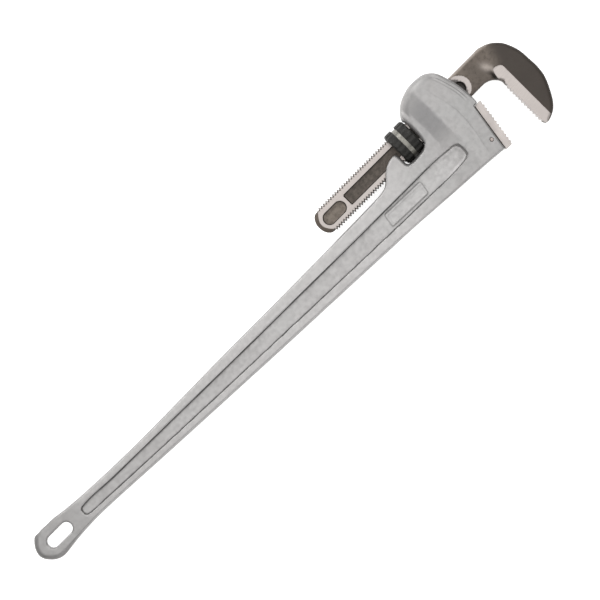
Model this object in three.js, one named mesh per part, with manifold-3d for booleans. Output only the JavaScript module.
// Straight pipe wrench, 48 inch class, aluminium handle, lying flat on its side.
// Millimetres. +X runs along the handle towards the jaws, +Y towards the back of
// the hook jaw, +Z up. The origin is at the middle of the underside.
import * as THREE from 'three';
import { mergeVertices, mergeGeometries } from 'three/addons/utils/BufferGeometryUtils.js';
import Module from 'manifold-3d';

const wasm = await Module();
wasm.setup();

// ---- driving dimensions ------------------------------------------------------
const HEAD_HALF = 31.5;          // half thickness of the housing, its flat sides
const TAIL_HALF = 14.0;          // half thickness of the grip at the tail
const GRIP_HALF = 20.2;          // half thickness of the grip next to the lug
const WEB_HALF = 5.0;            // half thickness of the I-beam web
const SCREW_X = 318.7;           // middle of the adjusting nut, on the screw axis
const SCREW_Y = 39.2;            // height of the screw axis
const PITCH = 5.08;              // 5 threads per inch
const SHANK_R = 23.2;            // thread crest radius of the shank
const ROOT_R = 20.2;             // thread root radius of the shank
const SHANK_HALF = 10.5;         // half thickness of the shank
const RECESS_Y = 38.5;           // middle line of the recesses in the shank
const SHANK_END = 127.2;         // free end of the shank
const THREAD_X0 = 138.0;         // first thread
const THREAD_X1 = 389.0;         // last thread
const JAW_HALF = 18.0;           // half thickness of both jaws
const TOOTH = 6.35;              // tooth pitch, four to the inch
const TOOTH_DEPTH = 2.3;
const NUT_R = 29.5;
const NUT_X0 = 299.3, NUT_X1 = 337.3, GROOVE_X0 = 313.9, GROOVE_X1 = 321.7;
const NUT_GROOVE_R = 26.9, NUT_BORE_R = 23.7, NUT_FLUTES = 18;
const TUNNEL_HALF = 11.4;        // half width of the tunnel and of the lug's channel
const TUNNEL_BACK = 62.9;        // back wall, on which the shank rests
const PIN_X = 417.1, PIN_Y = -54.5, PIN_R = 2.8, PIN_HOLE_R = 3.15, PIN_HALF = 30.2;
const TONGUE_HALF = 7.5, TONGUE_SLOT_HALF = 8.0;
const COIL_X = 392.0, COIL_POCKET_R = 6.6, COIL_R = 4.9, COIL_WIRE = 0.9, COIL_TURNS = 6;
const COIL_Y0 = -13.0, COIL_Y1 = 13.3;
const RIVET_R = 1.5, RIVET_HEAD_R = 2.5;
const LEAF_X0 = 354.0, LEAF_X1 = 430.0, LEAF_HALF = 8.5, LEAF_T = 1.5;

// ---- outlines, counter-clockwise ---------------------------------------------
const OUTLINE_FRONT = [
  [-550.8, -19.0], [-548.6, -24.2], [-543.5, -30.7], [-537.2, -36.5], [-530.1, -40.3], [-523.0, -41.9], [-515.1, -41.7],
  [-504.0, -40.3], [-488.2, -38.4], [-472.4, -37.3], [-448.7, -36.3], [-425.0, -36.5], [-385.5, -38.2], [-322.3, -41.7],
  [-259.1, -44.9], [-195.9, -48.0], [-132.7, -51.0], [-69.5, -54.0], [-6.3, -56.7], [56.9, -59.2], [120.1, -61.9],
  [183.3, -64.6], [237.0, -66.8], [274.9, -69.5], [312.8, -72.0], [350.8, -74.4], [388.7, -76.8], [422.8, -79.8],
];
const OUTLINE_HEAD = [
  [435.4, 2.4], [442.7, 2.4], [443.5, 11.9], [443.5, 22.9], [442.7, 34.0], [441.0, 45.0], [438.1, 56.1],
  [433.9, 70.3], [429.1, 81.8], [421.5, 90.2], [413.2, 95.0], [404.5, 97.0], [391.8, 97.6], [380.8, 96.7],
  [369.7, 93.5], [360.2, 89.3], [351.2, 83.3], [345.5, 76.3], [343.2, 68.7], [342.5, 59.2], [342.2, 46.6],
  [341.4, 32.4], [340.3, 24.5], [338.0, 17.1], [333.1, 11.2], [326.4, 8.4], [319.2, 7.7],
];
const OUTLINE_LUG = [
  [300.8, 7.7], [296.4, 9.3], [293.9, 13.1], [293.4, 18.2], [293.2, 30.0], [292.3, 34.0], [288.5, 36.7],
  [281.9, 36.3], [274.9, 34.3], [268.6, 31.3], [262.8, 27.0], [257.5, 22.3], [252.8, 17.2], [248.4, 13.3],
  [243.3, 10.4], [236.2, 8.7], [225.9, 7.6], [207.0, 7.0],
];
const OUTLINE_BACK = [
  [120.1, 6.0], [25.3, 5.1], [-101.1, 4.7], [-417.1, 5.2], [-448.7, 7.1], [-467.7, 8.8], [-486.6, 11.2],
  [-504.0, 13.9], [-513.5, 15.8], [-521.4, 16.6], [-529.3, 15.0], [-536.4, 11.7], [-542.7, 5.7], [-547.9, -1.9],
  [-550.5, -8.7], [-551.3, -14.1],
];
const HANDLE_OUTLINE = [...OUTLINE_FRONT, ...OUTLINE_HEAD, ...OUTLINE_LUG, ...OUTLINE_BACK];
// recessed panel on each side of the grip
const PANEL = [
  [-450.3, -22.3], [-445.6, -23.4], [-417.1, -24.8], [-385.5, -26.4], [-322.3, -29.2], [-259.1, -31.9], [-195.9, -34.1],
  [-132.7, -36.5], [-69.5, -38.7], [-6.3, -40.8], [56.9, -42.8], [120.1, -44.7], [183.3, -46.6], [246.5, -48.2],
  [293.9, -49.1], [325.5, -49.8], [344.4, -49.3], [360.2, -48.3], [368.1, -47.2], [373.2, -44.1], [374.8, -39.5],
  [374.8, -27.7], [373.2, -22.8], [367.4, -19.0], [357.1, -17.5], [344.4, -16.4], [325.5, -15.0], [278.1, -14.9],
  [183.3, -14.9], [120.1, -14.7], [56.9, -14.2], [-6.3, -13.7], [-69.5, -13.3], [-132.7, -12.6], [-195.9, -11.7],
  [-259.1, -10.7], [-322.3, -9.8], [-385.5, -8.8], [-445.6, -7.0], [-450.3, -7.7], [-452.4, -10.9], [-452.4, -19.4],
];
// thickness of the handle seen from its front edge: [x, half thickness]
const THICKNESS = [
  [-556, TAIL_HALF], [-440, TAIL_HALF], [236, GRIP_HALF], [346, 21.6], [358, 22.6], [384, HEAD_HALF],
  [410, HEAD_HALF], [448, 27.5],
];
// back of the hook jaw from the straight shank round to the jaw's tip
const HOOK_BACK = [
  [505.6, 62.4], [511.9, 60.5], [519.5, 57.7], [527.2, 52.9], [532.5, 48.2], [536.9, 43.5],
  [540.4, 38.4], [543.5, 31.6], [546.4, 24.5], [548.7, 16.6], [550.2, 7.1], [550.8, -5.5], [551.6, -19.8],
  [551.1, -29.2], [550.2, -37.1], [547.3, -47.4], [543.5, -56.4], [538.9, -65.6], [533.7, -75.0], [526.8, -84.5],
  [521.4, -89.6], [515.1, -93.4], [508.8, -96.1], [504.0, -97.5], [499.3, -97.3], [496.8, -94.3], [495.2, -89.9],
];
const HOOK_TEETH_X = 494.0, HOOK_TEETH_Y0 = -88.4, HOOK_TEETH_N = 12;
const HOOK_INNER = [
  [495.3, -4.0], [494.4, -0.8], [492.0, 4.0], [488.5, 8.1], [484.0, 11.7], [478.7, 14.2], [472.4, 15.7],
];
// the jaw thickens from shank thickness to full thickness behind this line
const FLARE = [[478, 70], [489.5, 30], [491.5, 4]];
// toothed face of the heel jaw, tip line from its free end to the housing
const HEEL_TIP0 = [437.7, -80.6], HEEL_TIP1 = [449.5, -0.8];

// ---- helpers -------------------------------------------------------------------
// three.js geometry with merged vertices -> manifold solid
function solid(geometry) {
  const g = geometry.clone();
  g.deleteAttribute('normal');
  g.deleteAttribute('uv');
  const m = mergeVertices(g, 1e-4);
  return new wasm.Manifold(new wasm.Mesh({
    numProp: 3,
    vertProperties: new Float32Array(m.attributes.position.array),
    triVerts: new Uint32Array(m.index.array),
  }));
}

// manifold solid -> three.js geometry with flat normals
function geometryOf(manifold) {
  const mesh = manifold.getMesh();
  const g = new THREE.BufferGeometry();
  g.setAttribute('position', new THREE.BufferAttribute(new Float32Array(mesh.vertProperties), 3));
  g.setIndex(new THREE.BufferAttribute(new Uint32Array(mesh.triVerts), 1));
  g.computeVertexNormals();
  return g;
}

const shapeOf = (points) => new THREE.Shape(points.map(([x, y]) => new THREE.Vector2(x, y)));

// plan outline in XY, from z0 to z1
function plate(points, z0, z1) {
  const g = new THREE.ExtrudeGeometry(shapeOf(points), { depth: z1 - z0, bevelEnabled: false });
  g.translate(0, 0, z0);
  return solid(g);
}

// outline in XZ, from y0 to y1
function sidePlate(points, y0, y1) {
  const g = new THREE.ExtrudeGeometry(shapeOf(points), { depth: y1 - y0, bevelEnabled: false });
  g.rotateX(Math.PI / 2);
  g.translate(0, y1, 0);
  return solid(g);
}

// outline in YZ, from x0 to x1
function crossPlate(points, x0, x1) {
  const g = new THREE.ExtrudeGeometry(shapeOf(points), { depth: x1 - x0, bevelEnabled: false });
  g.applyMatrix4(new THREE.Matrix4().set(0, 0, 1, x0, 1, 0, 0, 0, 0, 1, 0, 0, 0, 0, 0, 1));
  return solid(g);
}

function box(x0, x1, y0, y1, z0, z1) {
  const g = new THREE.BoxGeometry(x1 - x0, y1 - y0, z1 - z0);
  g.translate((x0 + x1) / 2, (y0 + y1) / 2, (z0 + z1) / 2);
  return solid(g);
}

function rod(radius, from, to, segments) {
  const a = new THREE.Vector3(...from), b = new THREE.Vector3(...to);
  const g = new THREE.CylinderGeometry(radius, radius, a.distanceTo(b), segments);
  g.applyQuaternion(new THREE.Quaternion().setFromUnitVectors(new THREE.Vector3(0, 1, 0), b.clone().sub(a).normalize()));
  g.translate((a.x + b.x) / 2, (a.y + b.y) / 2, (a.z + b.z) / 2);
  return solid(g);
}

// a slot with round ends, centred on y, from x0 to x1
function stadium(x0, x1, y, half, n) {
  const pts = [];
  for (let i = 0; i <= n; i++) {
    const a = -Math.PI / 2 + Math.PI * i / n;
    pts.push([x1 - half + half * Math.cos(a), y + half * Math.sin(a)]);
  }
  for (let i = 0; i <= n; i++) {
    const a = Math.PI / 2 + Math.PI * i / n;
    pts.push([x0 + half + half * Math.cos(a), y + half * Math.sin(a)]);
  }
  return pts;
}

// sawtooth from a to b with n teeth, depth to the right of the direction of travel
function teeth(a, b, n, depth) {
  const dx = (b[0] - a[0]) / n, dy = (b[1] - a[1]) / n, len = Math.hypot(dx, dy);
  const nx = -dy / len * depth, ny = dx / len * depth;
  const pts = [];
  for (let i = 0; i < n; i++) {
    pts.push([a[0] + dx * (i + 0.04) + nx, a[1] + dy * (i + 0.04) + ny]);
    pts.push([a[0] + dx * (i + 0.56), a[1] + dy * (i + 0.56)]);
    pts.push([a[0] + dx * (i + 0.68), a[1] + dy * (i + 0.68)]);
  }
  pts.push([b[0] + dx * 0.04 + nx, b[1] + dy * 0.04 + ny]);
  return pts;
}

// One threaded edge of the shank: a right-hand screw thread about the shank's
// axis, made only over the arc that the flat shank leaves of the full screw.
function threadedEdge(side) {
  const arc = 4, half = 0.56, points = [];
  const base = side > 0 ? 0 : Math.PI;
  const turns = Math.round((THREAD_X1 - THREAD_X0) / PITCH);
  const profile = [[0.0, SHANK_R], [0.22, SHANK_R], [0.56, ROOT_R], [0.66, ROOT_R]];
  const rows = [];
  for (let t = 0; t < turns; t++) for (const [f, r] of profile) rows.push([THREAD_X0 + (t + f) * PITCH, r]);
  rows.push([THREAD_X0 + turns * PITCH, SHANK_R]);
  for (const [x, r] of rows) {
    for (let j = 0; j <= arc; j++) {
      const a = base + half * (2 * j / arc - 1);
      points.push(x + PITCH * a / (2 * Math.PI), SCREW_Y + r * Math.cos(a), r * Math.sin(a));
    }
    const shift = PITCH * base / (2 * Math.PI);
    const inner = SCREW_Y + 8 * Math.cos(base);
    const z = SHANK_HALF + 4;
    points.push(x + shift, inner, Math.cos(base) * z, x + shift, inner, -Math.cos(base) * z);
  }
  const ring = arc + 3, index = [];
  for (let i = 0; i < rows.length - 1; i++) {
    for (let j = 0; j < ring; j++) {
      const a = i * ring + j, b = i * ring + (j + 1) % ring, c = a + ring, d = b + ring;
      index.push(a, b, c, b, d, c);
    }
  }
  for (let j = 1; j < ring - 1; j++) {
    index.push(0, j + 1, j);
    const o = (rows.length - 1) * ring;
    index.push(o, o + j, o + j + 1);
  }
  const g = new THREE.BufferGeometry();
  g.setAttribute('position', new THREE.BufferAttribute(new Float32Array(points), 3));
  g.setIndex(index);
  g.computeVertexNormals();
  g.setAttribute('uv', new THREE.BufferAttribute(new Float32Array(points.length / 3 * 2), 2));
  return solid(g);
}

const group = new THREE.Group();
function add(name, manifold, color, roughness, metalness) {
  const geometry = manifold instanceof THREE.BufferGeometry ? manifold : geometryOf(manifold);
  const mesh = new THREE.Mesh(geometry, new THREE.MeshStandardMaterial({ color, roughness, metalness }));
  mesh.name = name;
  group.add(mesh);
  return mesh;
}

// ---- handle ----------------------------------------------------------------------
const sideProfile = [
  ...THICKNESS.map(([x, h]) => [x, -h]),
  ...[...THICKNESS].reverse().map(([x, h]) => [x, h]),
];
let handle = plate(HANDLE_OUTLINE, -HEAD_HALF - 1, HEAD_HALF + 1).intersect(sidePlate(sideProfile, -110, 110));
handle = handle.subtract(plate(PANEL, WEB_HALF, 60)).subtract(plate(PANEL, -60, -WEB_HALF));
handle = handle.subtract(plate(stadium(-528.9, -480.7, -14.0, 10.1, 10), -40, 40));
// channel between the lug's two cheeks
handle = handle.subtract(box(200, 296, 12.4, 70, -TUNNEL_HALF, TUNNEL_HALF));
// room for the nut to turn and to tilt with the jaw
handle = handle.subtract(rod(NUT_R + 2.2, [293.2, SCREW_Y, 0], [342.0, SCREW_Y, 0], 64));
// tunnel for the shank, its front wall sloping away to let the jaw rock
handle = handle.subtract(plate([[338, 10.9], [346, 10.7], [432, 6.4], [460, 6.4], [460, TUNNEL_BACK], [338, TUNNEL_BACK]],
  -TUNNEL_HALF, TUNNEL_HALF));
// slot for the heel jaw's tongue, pin hole and pocket for the coil spring
handle = handle.subtract(plate([[404.6, -71.4], [440, -75.6], [440, -22.6], [404.6, -20.6]], -TONGUE_SLOT_HALF, TONGUE_SLOT_HALF));
handle = handle.subtract(rod(PIN_HOLE_R, [PIN_X, PIN_Y, -40], [PIN_X, PIN_Y, 40], 20));
handle = handle.subtract(rod(COIL_POCKET_R, [COIL_X, COIL_Y0 - 0.4, 0], [COIL_X, 14, 0], 20));
add('handle', handle, 0xc2c3c2, 0.45, 0.85);

// ---- hook jaw ---------------------------------------------------------------------
const shankOutline = (half, radius) => {
  const pts = [];
  for (let i = 0; i <= 10; i++) {
    const a = Math.PI / 2 + Math.PI * i / 10;
    pts.push([SHANK_END + radius + radius * Math.cos(a), SCREW_Y + half * Math.sin(a)]);
  }
  return pts;
};
const thick = SHANK_HALF + 3;
const shankEnd = plate([...shankOutline(20.4, 14.5), [THREAD_X0 + 5, SCREW_Y - 20.4], [THREAD_X0 + 5, SCREW_Y + 20.4]], -thick, thick);
// the plain shank carries the threads outside a narrower core
const core = plate([...shankOutline(16.9, 14.5), [THREAD_X1 + 6, SCREW_Y - 16.9], [THREAD_X1 + 6, SCREW_Y + 16.9]], -thick, thick);
const toothFace = teeth([HOOK_TEETH_X, HOOK_TEETH_Y0], [HOOK_TEETH_X, HOOK_TEETH_Y0 + HOOK_TEETH_N * TOOTH], HOOK_TEETH_N, -TOOTH_DEPTH);
const hookOutline = (x) => [...HOOK_INNER, [x, 16.0], [x, SCREW_Y + SHANK_R], ...HOOK_BACK, ...toothFace];
const arcs = threadedEdge(1).add(threadedEdge(-1)).intersect(box(SHANK_END + 7, THREAD_X1 + 2, 0, 90, -thick - 5, thick + 5));
let hook = core.add(arcs).add(shankEnd).add(plate(hookOutline(THREAD_X1 - 1.5), -thick, thick))
  .intersect(box(SHANK_END - 10, 600, -120, 90, -SHANK_HALF, SHANK_HALF));
const jaw = plate(hookOutline(430), -JAW_HALF, JAW_HALF).intersect(plate([[600, 80], ...FLARE, [470, -10], [470, -120], [600, -120]], -30, 30));
hook = hook.add(jaw);
// ground recesses: an oval and a long channel on each side of the shank
for (const s of [1, -1]) {
  const z0 = s > 0 ? 6 : -40, z1 = s > 0 ? 40 : -6;
  hook = hook.subtract(plate(stadium(139.1, 183.3, RECESS_Y, 11.0, 8), z0, z1));
  hook = hook.subtract(plate([[189.6, RECESS_Y - 9.1], [190.8, RECESS_Y - 10.3],
    ...stadium(200, 449.6, RECESS_Y, 10.3, 8).slice(0, 9), [190.8, RECESS_Y + 10.3], [189.6, RECESS_Y + 9.1]], z0, z1));
}
add('hook_jaw', hook, 0x6e645c, 0.5, 0.8);

// ---- heel jaw and its pin ------------------------------------------------------------
const heelN = 12;
const hd = [HEEL_TIP1[0] - HEEL_TIP0[0], HEEL_TIP1[1] - HEEL_TIP0[1]];
const heelTeeth = teeth(HEEL_TIP0, [HEEL_TIP0[0] + hd[0] * 0.945, HEEL_TIP0[1] + hd[1] * 0.945], heelN, TOOTH_DEPTH);
const heelBlock = plate([[423.3, -80.6], [424.6, -82.0], [436.2, -82.4], ...heelTeeth, [448.9, 1.2], [447.2, 2.0], [436.2, 2.0],
  [435.7, 1.4]], -JAW_HALF, JAW_HALF);
const tongue = plate([[405.1, -70.8], [430, -73.9], [432, -23.0], [405.1, -21.2]], -TONGUE_HALF, TONGUE_HALF);
const heel = heelBlock.add(tongue).subtract(rod(PIN_HOLE_R, [PIN_X, PIN_Y, -40], [PIN_X, PIN_Y, 40], 20));
add('heel_jaw', heel, 0xcdc2bd, 0.35, 0.9);
add('heel_jaw_pin', rod(PIN_R, [PIN_X, PIN_Y, -PIN_HALF], [PIN_X, PIN_Y, PIN_HALF], 20), 0x3a3835, 0.5, 0.8);

// ---- adjusting nut ---------------------------------------------------------------------
const fluted = [];
for (let i = 0; i < NUT_FLUTES; i++) {
  for (const [f, r] of [[0, 0], [0.3, 0], [0.5, 1.25], [0.65, 1.7], [0.8, 1.25]]) {
    const a = 2 * Math.PI * (i + f) / NUT_FLUTES;
    fluted.push([SCREW_Y + (NUT_R - r) * Math.cos(a), (NUT_R - r) * Math.sin(a)]);
  }
}
let nut = crossPlate(fluted, NUT_X0, GROOVE_X0).add(crossPlate(fluted, GROOVE_X1, NUT_X1));
nut = nut.add(rod(NUT_GROOVE_R, [NUT_X0 + 2, SCREW_Y, 0], [NUT_X1 - 2, SCREW_Y, 0], 48));
const faceLimit = new THREE.LatheGeometry([[0, NUT_X0], [NUT_R - 2.6, NUT_X0], [NUT_R + 0.5, NUT_X0 + 2.6], [NUT_R + 0.5, NUT_X1 - 2.6],
  [NUT_R - 2.6, NUT_X1], [0, NUT_X1]].map(([r, x]) => new THREE.Vector2(r, x)), 48);
faceLimit.applyMatrix4(new THREE.Matrix4().set(0, 1, 0, 0, 1, 0, 0, SCREW_Y, 0, 0, -1, 0, 0, 0, 0, 1));
nut = nut.intersect(solid(faceLimit)).subtract(rod(NUT_BORE_R, [NUT_X0 - 5, SCREW_Y, 0], [NUT_X1 + 5, SCREW_Y, 0], 48));
add('adjusting_nut', nut, 0x3e403c, 0.5, 0.7);

// ---- springs ------------------------------------------------------------------------------
class Coil extends THREE.Curve {
  getPoint(t, target = new THREE.Vector3()) {
    const a = 2 * Math.PI * COIL_TURNS * t;
    return target.set(COIL_X + (COIL_R - COIL_WIRE) * Math.cos(a),
      COIL_Y0 + COIL_WIRE + (COIL_Y1 - COIL_Y0 - 2 * COIL_WIRE) * t, (COIL_R - COIL_WIRE) * Math.sin(a));
  }
}
const wire = new THREE.Shape();
wire.absarc(0, 0, COIL_WIRE, 0, 2 * Math.PI, false);
add('coil_spring', solid(new THREE.ExtrudeGeometry(wire, { extrudePath: new Coil(), steps: 72, curveSegments: 4, bevelEnabled: false })),
  0x8f8f8c, 0.4, 0.9);

const leafTop = [], leafBottom = [];
for (let i = 0; i <= 10; i++) {
  const f = i / 10, x = LEAF_X0 + (LEAF_X1 - LEAF_X0) * f;
  const y = SCREW_Y - SHANK_R - 0.35 - 1.0 * (2 * f - 1) ** 2;
  leafTop.push([x, y]);
  leafBottom.push([x, y - LEAF_T]);
}
const leafMid = SCREW_Y - SHANK_R - 0.35;
add('flat_spring', plate([...leafBottom, ...leafTop.reverse()], -LEAF_HALF, LEAF_HALF)
  .subtract(rod(RIVET_R + 0.35, [COIL_X, 0, 0], [COIL_X, 20, 0], 16)), 0x7d7d7a, 0.4, 0.9);
// rivet through the leaf, its head inside the coil
add('spring_rivet', new THREE.LatheGeometry([[0, leafMid - LEAF_T - 1.9], [1.6, leafMid - LEAF_T - 1.8], [RIVET_HEAD_R, leafMid - LEAF_T - 1.1],
  [RIVET_HEAD_R, leafMid - LEAF_T - 0.35], [RIVET_R, leafMid - LEAF_T - 0.35], [RIVET_R, leafMid - 0.1], [0, leafMid - 0.1],
].map(([r, y]) => new THREE.Vector2(r, y)), 16).translate(COIL_X, 0, 0), 0x6f6f6c, 0.4, 0.9);

group.position.z = HEAD_HALF;
group.updateMatrixWorld(true);
export default group;
